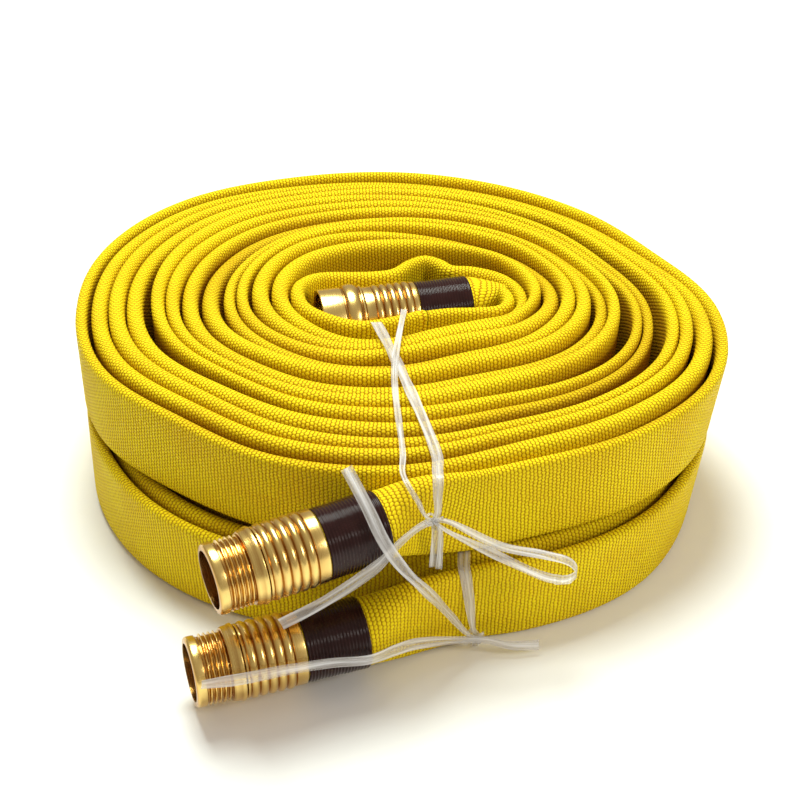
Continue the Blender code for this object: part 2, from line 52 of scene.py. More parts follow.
# Distances from the rolls' centre to the last wrap's outer face, every 22.5 degrees from +X,
# and how far the top of that wrap leans out past its foot there
HOSES = {
    "lower": {
        "base": 0.0,
        "seed": 11,
        "rim": (0.167, 0.163, 0.165, 0.168, 0.174, 0.180, 0.186, 0.185,
                0.181, 0.180, 0.180, 0.176, 0.166, 0.171, 0.175, 0.171),
        "lean": (0.006, 0.003, 0.000, 0.000, 0.000, 0.000, 0.000, 0.002,
                 0.001, 0.000, 0.003, 0.005, 0.005, 0.004, 0.004, 0.006),
        "male_tip": (-0.0960, -0.2110, 0.0230),
        "male_axis": (0.943, 0.331, 0.011),
        "female_tip": (-0.0446, 0.0088, 0.0250),
        "female_axis": (0.972, 0.236, 0.0),
    },
    "upper": {
        "base": 0.0503,
        "seed": 23,
        "rim": (0.171, 0.158, 0.160, 0.165, 0.173, 0.180, 0.190, 0.189,
                0.183, 0.177, 0.165, 0.165, 0.164, 0.160, 0.169, 0.176),
        "lean": (0.007, 0.004, 0.000, 0.000, 0.000, 0.001, 0.002, 0.003,
                 0.001, 0.000, -0.002, 0.001, 0.000, -0.002, -0.001, 0.005),
        "male_tip": (-0.0845, -0.2055, 0.0222),
        "male_axis": (0.911, 0.407, 0.060),
        "female_tip": (-0.0446, 0.0088, 0.0300),
        "female_axis": (0.972, 0.236, 0.0),
    },
}
# Middle of the second wrap, as distances from the hub's centre every 30 degrees from +X
SECOND_WRAP = (0.0700, 0.0680, 0.0600, 0.0560, 0.0580, 0.0620,
               0.0630, 0.0600, 0.0550, 0.0460, 0.0440, 0.0600)
# The hose turns back from its inner sleeve, passes in front of the coupling, goes round behind
# it with a bulge, and ends on the second wrap
HUB_RETURN = ((0.0515, 0.0290), (0.0585, 0.0215), (0.0595, 0.0110), (0.0540, 0.0030),
              (0.0420, 0.0005), (0.0260, -0.0005))
FIRST_WRAP = (
    (0.0100, -0.0045), (-0.0050, -0.0130), (-0.0200, -0.0185), (-0.0350, -0.0145),
    (-0.0500, -0.0030), (-0.0560, 0.0130), (-0.0545, 0.0285), (-0.0430, 0.0400),
    (-0.0150, 0.0430), (-0.0030, 0.0470), (0.0060, 0.0580), (0.0140, 0.0635), (0.0220, 0.0600),
    (0.0290, 0.0530), (0.0420, 0.0515), (0.0560, 0.0440), (0.0650, 0.0300), (0.0670, 0.0120),
    (0.0600, -0.0040), (0.0440, -0.0120),
)

# ---------- the hose ----------
HOSE_RADIUS = 0.0162
JACKET_WALL = 0.0013
LINING_WALL = 0.0011
GAP = 0.0003
# Half thickness of the flattened hose: where it has room, where it is squeezed, in the first and
# the last wrap, and where it turns back in the hub
FULLEST_HALF = 0.0053
THINNEST_HALF = 0.0027
FIRST_WRAP_HALF = 0.0040
RIM_HALF = 0.0032
RETURN_HALF = 0.0034
# The wraps stand on edge, and their top folds have sunk here and there
FOLD_HEIGHT = 0.0494
DEEPEST_DROP = 0.0070
FIRST_WRAP_DROP = 0.0040
START_DROP = 0.0012
# A fold's rise as a share of the half thickness, and how square it is: 1 is an ellipse
FOLD_RISE = 1.15
FOLD_SQUARENESS = 0.72
# The tube opens over these lengths, from flat in the roll to round at the sleeves
HUB_OPENING = 0.020
TAIL_REACH = 0.022
OPENING_POWER = 4
# Stations along the tube: close in the hub's stretch and in the last stretch, wide between
HUB_STATION = 0.0016
STATION = 0.0036
HUB_STRETCH = 0.50
LAST_STRETCH = 0.15
LAST_STATIONS = 90
FIRST_STATIONS = 24
TAIL_STATIONS = 59
END_STATIONS = 19
AROUND = 32
WEAVE_ROWS = 48
BEAD_LENGTH = 0.0020
# How far into its two ends the jacket has an inner skin
POCKET = 0.075
# Height under a roll's top over which painted shade darkens the grooves between the wraps
GROOVE_SHADE = (0.0016, 0.0125)

# ---------- couplings, measured along the axis from the open end ----------
BORE_RADIUS = 0.0108
MOUTH_RADIUS = 0.0136
SHANK_RADIUS = 0.0122
NECK_RADIUS = 0.0132
FERRULE_BORE = 0.0165
COLLAR_RADIUS = 0.0173
RIB_RADIUS = 0.0179
VALLEY_RADIUS = 0.0167
RIB_PITCH = 0.0043
RIB_COUNT = 5
LIP_BORE = 0.0135
LIP_THICKNESS = 0.003
BARB_COUNT = 3
BARB_PITCH = 0.0070
BARB_RISE = 0.0006
MALE_FERRULE_START = 0.0232
MALE_FERRULE_END = 0.0520
MALE_COLLAR = 0.0015
MOUTH_DEPTH = 0.0125
THREAD_RADIUS = 0.01645
THREAD_ROOT = 0.0152
THREAD_PITCH = 0.0022
THREAD_ROWS = 60
THREAD_FADE = 0.001
LIP_LENGTH = 0.0052
SHOULDER_RADIUS = 0.0181
SHOULDER_START = 0.0168
SHOULDER_END = 0.0226
NUT_RADIUS = 0.0186
NUT_NECK_RADIUS = 0.0180
NUT_LENGTH = 0.024
SKIRT_LENGTH = 0.0126
BULGE_FOOT = 0.0182
BULGE_RISE = 0.0018
BULGE_LENGTH = 0.0079
NUT_THREAD_RADIUS = 0.0166
NUT_THREAD_LENGTH = 0.0110
NUT_THREAD_TURNS = 5
NUT_THREAD_ROWS = 40
SEAT_RADIUS = 0.0158
SEAT_END = 0.0202
NUT_BORE = 0.0136
FLANGE_RADIUS = 0.0154
FLANGE_START = 0.0160
FLANGE_END = 0.0199
GASKET_START = 0.0130
GASKET_END = 0.0157
GASKET_EDGE = 0.0003
FEMALE_FERRULE_START = 0.0244
FEMALE_FERRULE_END = 0.0545
FEMALE_COLLAR = 0.0055
SLEEVE_RADIUS = 0.0172
SLEEVE_END_STEP = 0.0006
SLEEVE_RIB = 0.0016
SLEEVE_RIB_DEPTH = 0.00034
SLEEVE_LENGTH = 0.030
STRAIGHT_LENGTH = 0.002
TURN_STEPS = 96
# Reach and depth over which a groove gets painted shade
RECESS_REACH = 0.0016
RECESS_DEPTH = 0.0008

# ---------- ribbons, about the rolls' centre with z from the floor ----------
RIBBON_WIDTH = 0.0062
NARROW_RIBBON = 0.0034
BOW_RIBBON = 0.0052
KNOT_RIBBON = 0.0032
RIBBON_THICKNESS = 0.0003
RIBBON_COLUMNS = 7
CREASE = 0.0006
WRAP_SLACK = 0.35
ROLL_FACE_Y = -0.1500
GROOVE_DEPTH = 0.0012
KNOTS = {
    "upper": (0.0155, -0.1755, 0.0825),
    "lower": (0.0365, -0.1705, 0.0095),
}
KNOT_PLACES = np.array([np.array(knot) + (*ROLL_CENTRE, 0.0) for knot in KNOTS.values()])
# A wrap leaves its knot upwards, goes over the roll, down the hub, under the roll and back up.
# It lies `over` above the roll's top, bows sideways by `bow`, and comes down the hub at `hub_x`,
# `dip` lower on the first wrap than the others
TIE_WRAPS = (
    {"name": "upper_tie_wrap_wide", "level": "upper",
     "over": 0.0008, "hub_x": -0.013, "dip": 0.0045, "bow": 0.0,
     "front": ((0.017, -0.1755, 0.0868), (0.017, -0.1745, 0.096), (0.0172, -0.171, 0.102),
               (0.017, -0.165, 0.103)),
     "back": ((0.0165, -0.168, 0.0508), (0.0165, -0.171, 0.053), (0.0165, -0.1735, 0.062),
              (0.016, -0.175, 0.0782))},
    {"name": "upper_tie_wrap_narrow", "level": "upper", "width": NARROW_RIBBON,
     "over": 0.002, "hub_x": 0.002, "dip": 0.0, "bow": -0.0045,
     "front": ((0.0115, -0.1775, 0.0868), (0.008, -0.179, 0.096), (0.0038, -0.177, 0.103),
               (0.0012, -0.169, 0.1045)),
     "back": ((0.018, -0.169, 0.0508), (0.018, -0.1725, 0.0525), (0.0182, -0.1745, 0.059),
              (0.0182, -0.1755, 0.0782))},
    {"name": "lower_tie_wrap", "level": "lower",
     "over": -0.0006, "hub_x": -0.004, "dip": 0.0, "bow": 0.0,
     "front": ((0.035, -0.1703, 0.014), (0.033, -0.1695, 0.03), (0.031, -0.17, 0.045),
               (0.03, -0.168, 0.0494)),
     "back": ((0.036, -0.166, 0.0006), (0.036, -0.1683, 0.0016), (0.036, -0.1693, 0.0035),
              (0.0362, -0.17, 0.0052))},
)
# The bow, which starts and ends in its knot, and the free ends
TIE_ENDS = (
    {"name": "upper_tie_bow", "width": BOW_RIBBON, "far_end": "knot", "across": (0.0, 1.0, 0.35),
     "points": (
         KNOTS["upper"], (0.0205, -0.1765, 0.0835), (0.045, -0.18, 0.072), (0.066, -0.178, 0.065),
         (0.079, -0.176, 0.0585), (0.0822, -0.175, 0.052), (0.0795, -0.174, 0.0478),
         (0.0755, -0.1765, 0.0488), (0.0722, -0.1735, 0.047), (0.066, -0.1755, 0.0505),
         (0.046, -0.177, 0.063), (0.0205, -0.1765, 0.0785), KNOTS["upper"])},
    {"name": "upper_tie_tail", "across": (0.3, 0.3, 1.0),
     "points": (
         KNOTS["upper"], (0.01, -0.1785, 0.0825), (0.0, -0.1865, 0.079), (-0.009, -0.1935, 0.0725),
         (-0.018, -0.1965, 0.066), (-0.036, -0.201, 0.055), (-0.054, -0.203, 0.045))},
    {"name": "lower_tie_ends", "across": (0.0, 0.2, 1.0),
     "nodes": ("lower_tie_tail_right", "lower_tie_tail_left"),
     "points": (
         (0.067, -0.1715, 0.005), (0.053, -0.1735, 0.0065), (0.041, -0.1725, 0.009),
         (0.031, -0.1745, 0.011), (0.008, -0.185, 0.0175), (-0.002, -0.194, 0.0215),
         (-0.014, -0.205, 0.0255), (-0.03, -0.209, 0.0275), (-0.05, -0.216, 0.0295),
         (-0.07, -0.2235, 0.0308), (-0.088, -0.2295, 0.0325))},
    {"name": "lower_tie_tail_up", "across": (1.0, 0.0, 0.3),
     "points": (
         KNOTS["lower"], (0.0325, -0.1755, 0.015), (0.022, -0.1815, 0.034),
         (0.012, -0.1885, 0.0525), (0.002, -0.193, 0.068), (-0.007, -0.194, 0.0845),
         (-0.015, -0.186, 0.099), (-0.024, -0.174, 0.111))},
)

# ---------- camera and lights ----------
CAMERA_PLACE = (0.00303, -0.73223, 0.5217)
CAMERA_TARGET = (0.00303, 0.02747, 0.0502)
CAMERA_LENS = 72
CAMERA_SHIFT = -0.0275
LIGHT_TARGET = (0.0, 0.0, 0.04)
# Name, place, size, power and colour
LIGHTS = (
    ("top softbox", (-0.15, 0.45, 1.4), 0.8, 29.0, (0.93, 1.0, 0.93)),
    ("key from the right", (1.2, -0.7, 0.9), 0.4, 7.0, (1.0, 0.98, 0.92)),
)
WORLD_COLOUR = (1.0, 0.90, 0.79, 1.0)
WORLD_STRENGTH = 0.41
FLOOR_HALF_SIZE = 12.0
FLOOR_Z = -0.0004


# ---------- curves ----------

def smooth(before, start, end, after, share):
    """A share of the way from start to end, on a smooth curve through all four."""
    return 0.5 * (2 * start + (end - before) * share
                  + (2 * before - 5 * start + 4 * end - after) * share ** 2
                  + (3 * start - before - 3 * end + after) * share ** 3)


def closed_line(values, angles):
    """Distances in given directions, on a smooth closed line through evenly spaced ones."""
    values = np.array(values)
    count = len(values)
    place = (angles / (2 * math.pi) * count) % count
    index = place.astype(int) % count
    share = place - np.floor(place)
    return smooth(*[values[(index + step) % count] for step in (-1, 0, 1, 2)], share)


def open_line(points, steps):
    """Points on a smooth curve through the given ones, `steps` for each stretch."""
    points = np.array(points, float)
    points = np.vstack([2 * points[0] - points[1], points, 2 * points[-1] - points[-2]])
    share = (np.arange(steps) / steps)[:, None]
    stretches = []
    for index in range(1, len(points) - 2):
        stretches.append(smooth(*points[index - 1:index + 3], share))
    return np.vstack(stretches + [points[-2:-1]])


def bend(start, start_reach, end, end_reach, steps):
    """Points on a smooth curve that leaves and arrives along the given reaches."""
    share = np.linspace(0, 1, steps)[:, None]
    points = [start, start + start_reach, end - end_reach, end]
    while len(points) > 1:
        points = [point * (1 - share) + after * share for point, after in zip(points, points[1:])]
    return points[0]


def travelled(points):
    """Distance along a line of points."""
    steps = np.linalg.norm(np.diff(points, axis=0), axis=1)
    return np.concatenate([[0.0], np.cumsum(steps)])


def read_along(places, distance, columns):
    """Columns of values along a line, read at other places on it."""
    return np.stack([np.interp(places, distance, column) for column in columns.T], axis=1)


def unit(vectors):
    """Vectors of length 1 the same way as the given ones."""
    return vectors / np.linalg.norm(vectors, axis=-1, keepdims=True)


def wander(random, places, spacing, low, high, power=1):
    """A smooth random line, a new value every `spacing`; a power above 1 keeps it mostly low."""
    places = places - places.min()
    values = low + (high - low) * random.uniform(0, 1, int(places.max() / spacing) + 3) ** power
    at = places / spacing
    index = at.astype(int)
    share = ramp(at - index, 0, 1)
    return values[index] * (1 - share) + values[index + 1] * share


def ramp(values, start, end):
    """0 before start, 1 after end, and smooth between."""
    share = np.clip((values - start) / (end - start), 0, 1)
    return share * share * (3 - 2 * share)


# ---------- meshes ----------

def add_piece(name, points, faces, material):
    """A mesh object from points and faces, shaded smooth."""
    mesh = bpy.data.meshes.new(name)
    mesh.from_pydata(np.asarray(points).tolist(), [], faces)
    mesh.materials.append(material)
    mesh.shade_smooth()
    mesh.update()
    piece = bpy.data.objects.new(name, mesh)
    bpy.context.scene.collection.objects.link(piece)
    return piece


def band_faces(first, second, columns, flip=False):
    """Quads between two rings of points; each ring closes on itself."""
    faces = []
    for column in range(columns):
        after = (column + 1) % columns
        corners = (first + column, first + after, second + after, second + column)
        faces.append(corners[::-1] if flip else corners)
    return faces


def skin_faces(rows, columns, first=0, flip=False):
    """Quads between neighbouring rings of points."""
    faces = []
    for row in range(rows - 1):
        ring = first + row * columns
        faces += band_faces(ring, ring + columns, columns, flip)
    return faces


def ring_columns(corners, columns):
    """A face's places in its rings; where a ring closes, its first point is past its last."""
    places = [corner % columns for corner in corners]
    if len(places) == 4 and max(places) - min(places) > columns // 2:
        places = [place if place else columns for place in places]
    return places


def set_recess_shade(mesh, values):
    """How deep in a groove each point is, for the materials to paint shade there."""
    mesh.attributes.new("recess_shade", "FLOAT", "POINT").data.foreach_set("value", values)


def set_map(mesh, name, coordinates):
    """A UV map from a function that turns each face's corner vertices into coordinates."""
    layer = mesh.uv_layers.new(name=name)
    values = np.empty((len(mesh.loops), 2), np.float32)
    for face in mesh.polygons:
        values[face.loop_start:face.loop_start + face.loop_total] = coordinates(face.vertices)
    layer.data.foreach_set("uv", values.ravel())


# ---------- the hose's line ----------

def spiral_centre(hose, turns, shift):
    """Middle of the wound hose from the second wrap on, seen from above."""
    angles = START_ANGLE - 2 * math.pi * turns
    direction = np.stack([np.cos(angles), np.sin(angles)], axis=1)
    inner = HUB_CENTRE + direction * closed_line(SECOND_WRAP, angles)[:, None]
    outer = direction * (closed_line(hose["rim"], angles) - RIM_HALF)[:, None]
    share = ((turns - 1 + shift) / (TURNS - 1))[:, None]
    return inner * (1 - share) + outer * share


def wound_stations(hose, random):
    """The wound stretch: middle, half thickness below and above, lean and drop.

    The wraps wander from an even spiral, except the first one and the last two.
    """
    turns = np.arange(1.0, TURNS, 1 / 180)
    free = ramp(turns, 1.0, 1.4) * (1 - ramp(turns, TURNS - 2.3, TURNS - 1.9))
    spiral = spiral_centre(hose, turns, wander(random, turns, 0.29, -0.27, 0.27) * free)
    lead_in = spiral_centre(hose, np.array((1.0, 1.04)), np.zeros(2))
    first = open_line((*FIRST_WRAP, *lead_in), 8)[:-9]
    offset = first - HUB_CENTRE
    first_angle = np.unwrap(np.arctan2(offset[:, 1], offset[:, 0]))
    turn = np.concatenate([(START_ANGLE - first_angle) / (2 * math.pi), turns])
    middle = np.vstack([first, spiral])
    heading = unit(np.gradient(middle, axis=0))
    outward = np.stack([-heading[:, 1], heading[:, 0]], axis=1)

    share = ramp(turn, 5.0, TURNS) ** 1.3
    lean = closed_line(hose["lean"], START_ANGLE - 2 * math.pi * turn) * share
    lean += wander(random, turn, 0.43, -0.0013, 0.0013) * (1 - 0.5 * share)
    drop = wander(random, turn, 0.27, 0.0, DEEPEST_DROP, 2.2)
    drop += FIRST_WRAP_DROP * ramp(turn, 0.30, 0.45) * (1 - ramp(turn, 0.70, 1.0))
    drop += START_DROP * (1 - ramp(turn, 0.8, 1.1))

    def apart(line, step):
        """Distance to the next or the last wrap, square to the hose."""
        other = read_along(turn + step, turn, line)
        gap = np.abs(((other - line) * outward).sum(axis=1))
        inside = (turn + step >= turn[0]) & (turn + step <= turn[-1])
        return np.where(inside, gap, 1.0)

    halves = []
    for side in (-0.5, 0.5):
        edge = middle + outward * (side * lean)[:, None]
        nearest = np.minimum(apart(edge, 1.0), apart(edge, -1.0))
        fullest = FULLEST_HALF - (FULLEST_HALF - RIM_HALF) * ramp(turn, TURNS - 1.1, TURNS - 0.9)
        halves.append(np.clip(0.5 * nearest - GAP, THINNEST_HALF, fullest))
    first_share = 1 - ramp(turn, 0.75, 1.05)
    below, above = [np.minimum(half, half + (FIRST_WRAP_HALF - half) * first_share)
                    for half in halves]
    return middle, below, above, lean, drop


def coupling_point(hose, end, distance):
    """A point on a coupling's axis, about the rolls' centre."""
    tip = np.array(hose[f"{end}_tip"]) + (0.0, 0.0, hose["base"])
    return tip + unit(np.array(hose[f"{end}_axis"])) * distance


def hose_stations(hose):
    """Every station of one hose: middle, half thickness below and above, half height and lean.

    It starts inside the swivel coupling's ferrule and ends inside the male one's.
    """
    random = np.random.default_rng(hose["seed"])
    middle, below, above, lean, drop = wound_stations(hose, random)
    foot = np.full(len(middle), hose["base"] + GAP)
    top = foot + FOLD_HEIGHT - drop

    hub_end = coupling_point(hose, "female", FEMALE_FERRULE_START + LIP_THICKNESS + GAP)
    sleeve_end = FEMALE_FERRULE_END + SLEEVE_LENGTH
    hub_sleeve = coupling_point(hose, "female", sleeve_end + GAP)
    inside = np.linspace(hub_end, hub_sleeve, FIRST_STATIONS)
    leaving = coupling_point(hose, "female", sleeve_end + STRAIGHT_LENGTH)
    back = open_line((hub_sleeve[:2], leaving[:2], *HUB_RETURN, FIRST_WRAP[0]), 8)[1:-1]
    share = ramp(travelled(back), 0.0, HUB_OPENING) ** 0.8
    half = HOSE_RADIUS + (RETURN_HALF - HOSE_RADIUS) * share
    settle = ramp(travelled(back), travelled(back)[-1] - 0.025, travelled(back)[-1])
    hub_half = half * (1 - settle) + above[0] * settle
    hub_low = (hub_sleeve[2] - HOSE_RADIUS) * (1 - share) + foot[0] * share
    hub_high = (hub_sleeve[2] + HOSE_RADIUS) * (1 - share) + (top[0] - 0.001) * share

    tail_end = coupling_point(hose, "male", MALE_FERRULE_START + LIP_THICKNESS + GAP)
    tail_sleeve = coupling_point(hose, "male",
                                 MALE_FERRULE_END + GAP + SLEEVE_LENGTH + STRAIGHT_LENGTH)
    axis = unit(np.array(hose["male_axis"]))
    start = np.append(middle[-1], (foot[-1] + top[-1]) / 2)
    heading = np.append(unit(middle[-1] - middle[-2]), 0.0)
    tail = bend(start, heading * TAIL_REACH, tail_sleeve, -axis * TAIL_REACH,
                TAIL_STATIONS + 1)[1:]
    opening = (np.arange(1, TAIL_STATIONS + 1) / TAIL_STATIONS) ** OPENING_POWER
    tail_half = above[-1] + (HOSE_RADIUS - above[-1]) * opening
    tall = (top[-1] - foot[-1]) / 2 * (1 - opening) + HOSE_RADIUS * opening
    tail_inside = np.linspace(tail_sleeve, tail_end, END_STATIONS + 1)[1:]

    centres = np.vstack([
        inside,
        np.column_stack([back, (hub_low + hub_high) / 2]),
        np.column_stack([middle, (foot + top) / 2]),
        tail, tail_inside])
    round_start = np.full(FIRST_STATIONS, HOSE_RADIUS)
    round_end = np.full(END_STATIONS, HOSE_RADIUS)
    sizes = [np.concatenate([round_start, *stretches, round_end]) for stretches in (
        (hub_half, below, tail_half),
        (hub_half, above, tail_half),
        ((hub_high - hub_low) / 2, (top - foot) / 2, tall))]
    lean = np.concatenate([np.zeros(FIRST_STATIONS + len(back)), lean, lean[-1] * (1 - opening),
                           np.zeros(END_STATIONS)])

    distance = travelled(centres)
    early = np.arange(0, HUB_STRETCH, HUB_STATION)
    late = np.arange(HUB_STRETCH, distance[-1] - LAST_STRETCH, STATION)
    end = np.linspace(late[-1] + HUB_STATION, distance[-1], LAST_STATIONS)
    places = np.concatenate([early, late, end])
    return places, read_along(places, distance, np.column_stack([centres, *sizes, lean]))


def ring_shares():
    """Places round the flattened tube, as shares of it, closer together on its two folds."""
    step = np.arange(AROUND // 2) / (AROUND // 4) - 1
    half = (0.45 * step + 0.55 * step ** 3) / 4
    return np.concatenate([0.25 + half, 0.75 + half])


def hose_rings(table, inset):
    """Rings of points round the tube at each station, `inset` inside its surface.

    A ring has straight sides between two rounded folds. Where the tube is round, the folds meet.
    """
    centre = table[:, :3]
    below, above, tall, lean = table[:, 3:].T
    middle_half = (above + below) / 2
    heading = unit(np.gradient(centre, axis=0))
    rise = unit(np.array((0.0, 0.0, 1.0)) - heading * heading[:, 2:])
    across = np.cross(rise, heading)
    flatness = np.clip((tall / middle_half - 1) / 3, 0, 1)
    squareness = 1 - (1 - FOLD_SQUARENESS) * flatness
    rings = np.empty((len(table), AROUND, 3))
    for column, share in enumerate(ring_shares()):
        upper_side = share < 0.5
        half = above if upper_side else below
        crown = np.minimum(FOLD_RISE * half, tall)
        straight = tall - crown
        cap = math.pi * (half + crown) / 4
        along = (0.25 - abs(0.25 - share % 0.5)) * 4 * (straight + cap)
        angle = np.clip((along - straight) / cap * math.pi / 2, 0, math.pi / 2)
        up = np.minimum(along, straight) + (crown - inset) * np.sin(angle)
        blend = np.clip(along / np.maximum(straight, 1e-4), 0, 1)
        wide = middle_half * (1 - blend) + half * blend - inset
        wide *= np.cos(angle) ** squareness
        side = 1 if (share % 0.5 < 0.25) == upper_side else -1
        up = up if upper_side else -up
        offset = up / np.maximum(tall, 1e-6) * lean / 2
        rings[:, column] = (centre + rise * up[:, None]
                            + across * (side * wide + offset)[:, None])
    return rings


def fold_shade(places, heights):
    """Painted shade in the grooves between the wraps: how deep each point is, from 0 to 1.

    The hub's stretch, the loose end and the last wrap's outer side are in none.
    """
    to_end = places[-1] - places
    depth = ramp(ROLL_HEIGHT - heights, *GROOVE_SHADE)
    in_roll = ramp(places, 0.30, 1.00)
    outward = in_roll * ramp(to_end, 1.15, 1.30)
    inward = in_roll * ramp(to_end, 0.13, 0.20)
    shares = ring_shares()
    faces_out = (shares % 0.5 < 0.25) == (shares < 0.5)
    return (depth * np.where(faces_out, outward[:, None], inward[:, None])).ravel()


def build_hose(level, hose, materials):
    """One hose in one piece, open at both ends as far as its lining shows, and its length."""
    places, table = hose_stations(hose)
    outer = hose_rings(table, 0.0)
    inner = hose_rings(table, JACKET_WALL)
    front = int(np.searchsorted(places, POCKET))
    back = int(np.searchsorted(places, places[-1] - POCKET))
    count = len(table)
    points = np.concatenate([outer, inner[:front], inner[back:]]).reshape(-1, 3)
    points[:, :2] += ROLL_CENTRE
    front_first = count * AROUND
    back_first = front_first + front * AROUND
    faces = skin_faces(count, AROUND)
    faces += skin_faces(front, AROUND, front_first, flip=True)
    faces += skin_faces(count - back, AROUND, back_first, flip=True)
    faces += band_faces(0, front_first, AROUND, flip=True)
    faces += band_faces(front_first - AROUND, len(points) - AROUND, AROUND)
    faces.append(tuple(range(back_first - AROUND, back_first))[::-1])
    faces.append(tuple(range(back_first, back_first + AROUND)))
    piece = add_piece(f"{level}_hose", points, faces, materials["jacket"])

    row_of = np.concatenate([np.arange(count), np.arange(front), np.arange(back, count)])
    length = places / BEAD_LENGTH
    shares = np.append(ring_shares() * WEAVE_ROWS, (1 + ring_shares()[0]) * WEAVE_ROWS)

    def weave(corners):
        rows = [row_of[corner // AROUND] for corner in corners]
        columns = ring_columns(corners, AROUND)
        return [(length[row], shares[column]) for row, column in zip(rows, columns)]

    set_map(piece.data, "weave", weave)
    # Painted shade in the grooves between the wraps
    recess_shade = np.zeros(len(points))
    recess_shade[:front_first] = fold_shade(places, outer[:, :, 2] - hose["base"])
    set_recess_shade(piece.data, recess_shade)

    lining = hose_rings(table, JACKET_WALL + GAP)
    bore = hose_rings(table, JACKET_WALL + GAP + LINING_WALL)
    for end, first, stop in (("female", 0, front - 4), ("male", back + 4, count)):
        rows = stop - first
        skin = np.concatenate([lining[first:stop], bore[first:stop]]).reshape(-1, 3)
        skin[:, :2] += ROLL_CENTRE
        inner = rows * AROUND
        faces = skin_faces(rows, AROUND) + skin_faces(rows, AROUND, inner, flip=True)
        faces += band_faces(0, inner, AROUND, flip=True)
        faces += band_faces(inner - AROUND, 2 * inner - AROUND, AROUND)
        tube = add_piece(f"{level}_{end}_lining", skin, faces, materials["rubber"])
        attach(tube, "hoses")
        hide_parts(f"{level}_{'hub' if end == 'female' else 'tail'}_lining")
    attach(piece, "hoses")
    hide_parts(f"{level}_hose_roll", f"{level}_hub_jacket", f"{level}_tail_jacket")
    return piece, travelled(table[:, :3])[-1]


# ---------- couplings ----------

def coupling_frame(hose, end):
    """Turns a piece's own Z along the coupling's axis, with its origin at the open end."""
    along = Vector(hose[f"{end}_axis"]).normalized()
    level = Vector((0.0, 0.0, 1.0)).cross(along).normalized()
    turn = Matrix((level, along.cross(level), along)).transposed().to_4x4()
    tip = coupling_point(hose, end, 0.0) + (*ROLL_CENTRE, 0.0)
    return Matrix.Translation(tip) @ turn


def rounded(radius, height, size, first, second):
    """A rounded corner of a profile, from `size` before it to `size` after it."""
    points = []
    for step in range(4):
        share = step / 3
        near = (1 - share) ** 2
        far = share ** 2
        points.append((radius - size * (near * first[0] - far * second[0]),
                       height - size * (near * first[1] - far * second[1])))
    return points


OUT, IN, DOWN = (1, 0), (-1, 0), (0, -1)


def turned(name, profile, place, material, thread):
    """A turned ring. The profile is (radius, height): outer side from the top down, then the bore.

    Between the thread's two heights a helical ridge stands on the outer side.
    """
    radius, height = np.array(profile).T
    rows = len(profile)
    angle = np.arange(TURN_STEPS) * 2 * math.pi / TURN_STEPS
    spread = np.repeat(radius[:, None], TURN_STEPS, axis=1)
    # Painted shade in the grooves: how far each row lies below its highest neighbour
    recess_shade = np.zeros((rows, TURN_STEPS))
    for row in range(rows):
        near = np.abs(height - height[row]) < RECESS_REACH
        recess_shade[row] = np.clip((radius[near].max() - radius[row]) / RECESS_DEPTH, 0, 1)
    # The mouth and the bore get full painted shade
    recess_shade[radius <= MOUTH_RADIUS] = 1.0
    low, high = thread
    for row in range(rows):
        if low < height[row] < high and radius[row] >= THREAD_ROOT:
            phase = (height[row] / THREAD_PITCH + angle / (2 * math.pi)) % 1.0
            ridge = np.clip(1.25 - 3.4 * np.abs(phase - 0.5), 0, 1)
            ridge *= ramp(height[row], low, low + THREAD_FADE)
            ridge *= 1 - ramp(height[row], high - THREAD_FADE, high)
            spread[row] = THREAD_ROOT + (THREAD_RADIUS - THREAD_ROOT) * ridge
            # Painted shade in the thread's groove
            recess_shade[row] = 1 - ridge
    points = np.stack([spread * np.cos(angle), spread * np.sin(angle),
                       np.repeat(height[:, None], TURN_STEPS, axis=1)], axis=2).reshape(-1, 3)
    faces = skin_faces(rows, TURN_STEPS, flip=True)
    faces += band_faces((rows - 1) * TURN_STEPS, 0, TURN_STEPS, flip=True)
    piece = add_piece(name, points, faces, material)
    piece.data.set_sharp_from_angle(angle=math.radians(38))
    set_recess_shade(piece.data, recess_shade.ravel())
    marks = (height + radius) / 0.01

    def turning(corners):
        columns = ring_columns(corners, TURN_STEPS)
        return [(column / TURN_STEPS, marks[corner // TURN_STEPS])
                for corner, column in zip(corners, columns)]

    set_map(piece.data, "turning", turning)
    piece.matrix_world = place
    return piece


def shank(end, start):
    """Barbed shank from the hose's side down to the neck, for both kinds of coupling."""
    points = [(SHANK_RADIUS - BARB_RISE, end), (SHANK_RADIUS, end - 0.0010)]
    for barb in range(BARB_COUNT):
        crest = end - 0.0045 - barb * BARB_PITCH
        points += [(SHANK_RADIUS, crest + 0.0012), (SHANK_RADIUS + BARB_RISE, crest),
                   (SHANK_RADIUS, crest - 0.0001)]
    return points + [(SHANK_RADIUS, start), (NECK_RADIUS, start)]


def ferrule_profile(start, end, plain_front):
    """Crimped ferrule: plain collar at the hose's side, rounded ribs, then a lip round the neck."""
    first_rib = start + plain_front + RIB_COUNT * RIB_PITCH
    points = rounded(COLLAR_RADIUS, end, 0.0008, OUT, DOWN)
    points += [(COLLAR_RADIUS, first_rib + 0.0003)]
    steps = 14
    for step in range(RIB_COUNT * steps + 1):
        share = step / steps
        rise = abs(math.sin(math.pi * share)) ** 0.75
        points.append((VALLEY_RADIUS + (RIB_RADIUS - VALLEY_RADIUS) * rise,
                       first_rib - share * RIB_PITCH))
    points += [(COLLAR_RADIUS, start + plain_front - 0.0003)]
    points += rounded(COLLAR_RADIUS, start, 0.0006, DOWN, IN)
    points += [(LIP_BORE, start), (LIP_BORE, start + LIP_THICKNESS),
               (FERRULE_BORE, start + LIP_THICKNESS), (FERRULE_BORE, end)]
    return points


